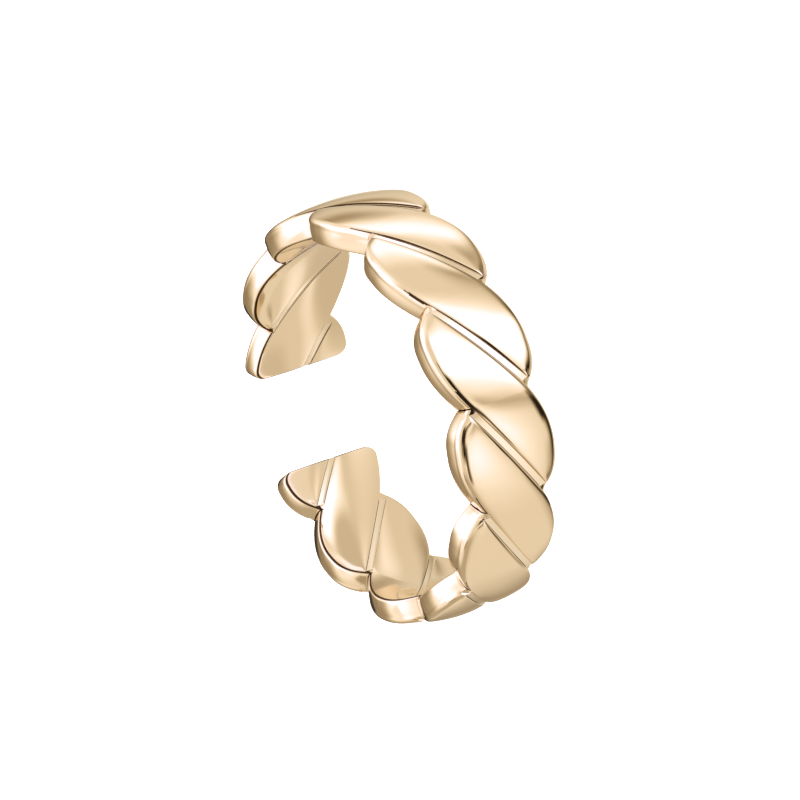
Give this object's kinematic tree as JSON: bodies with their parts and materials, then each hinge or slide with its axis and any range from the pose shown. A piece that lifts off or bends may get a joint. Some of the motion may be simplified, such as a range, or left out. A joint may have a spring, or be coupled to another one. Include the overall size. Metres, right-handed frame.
{
  "type": "open finger ring",
  "caption": "Open finger ring cast in one piece: a scalloped gold band of slanting leaf-shaped lobes parted by flat grooves, with a finger hole and an end gap.",
  "frame": {"origin": "middle of the ring's box at its base, on the surface that the ring lies on", "axes": "+Z along the ring's axis and up, +Y towards the gap between its ends, +X to the right seen from the front"},
  "size_m": [0.02, 0.0196, 0.0052],
  "materials": {
    "polished_gold": "polished pale gold plate"
  },
  "bodies": {
    "root": {"open_band": "polished_gold"}
  },
  "joints": []
}
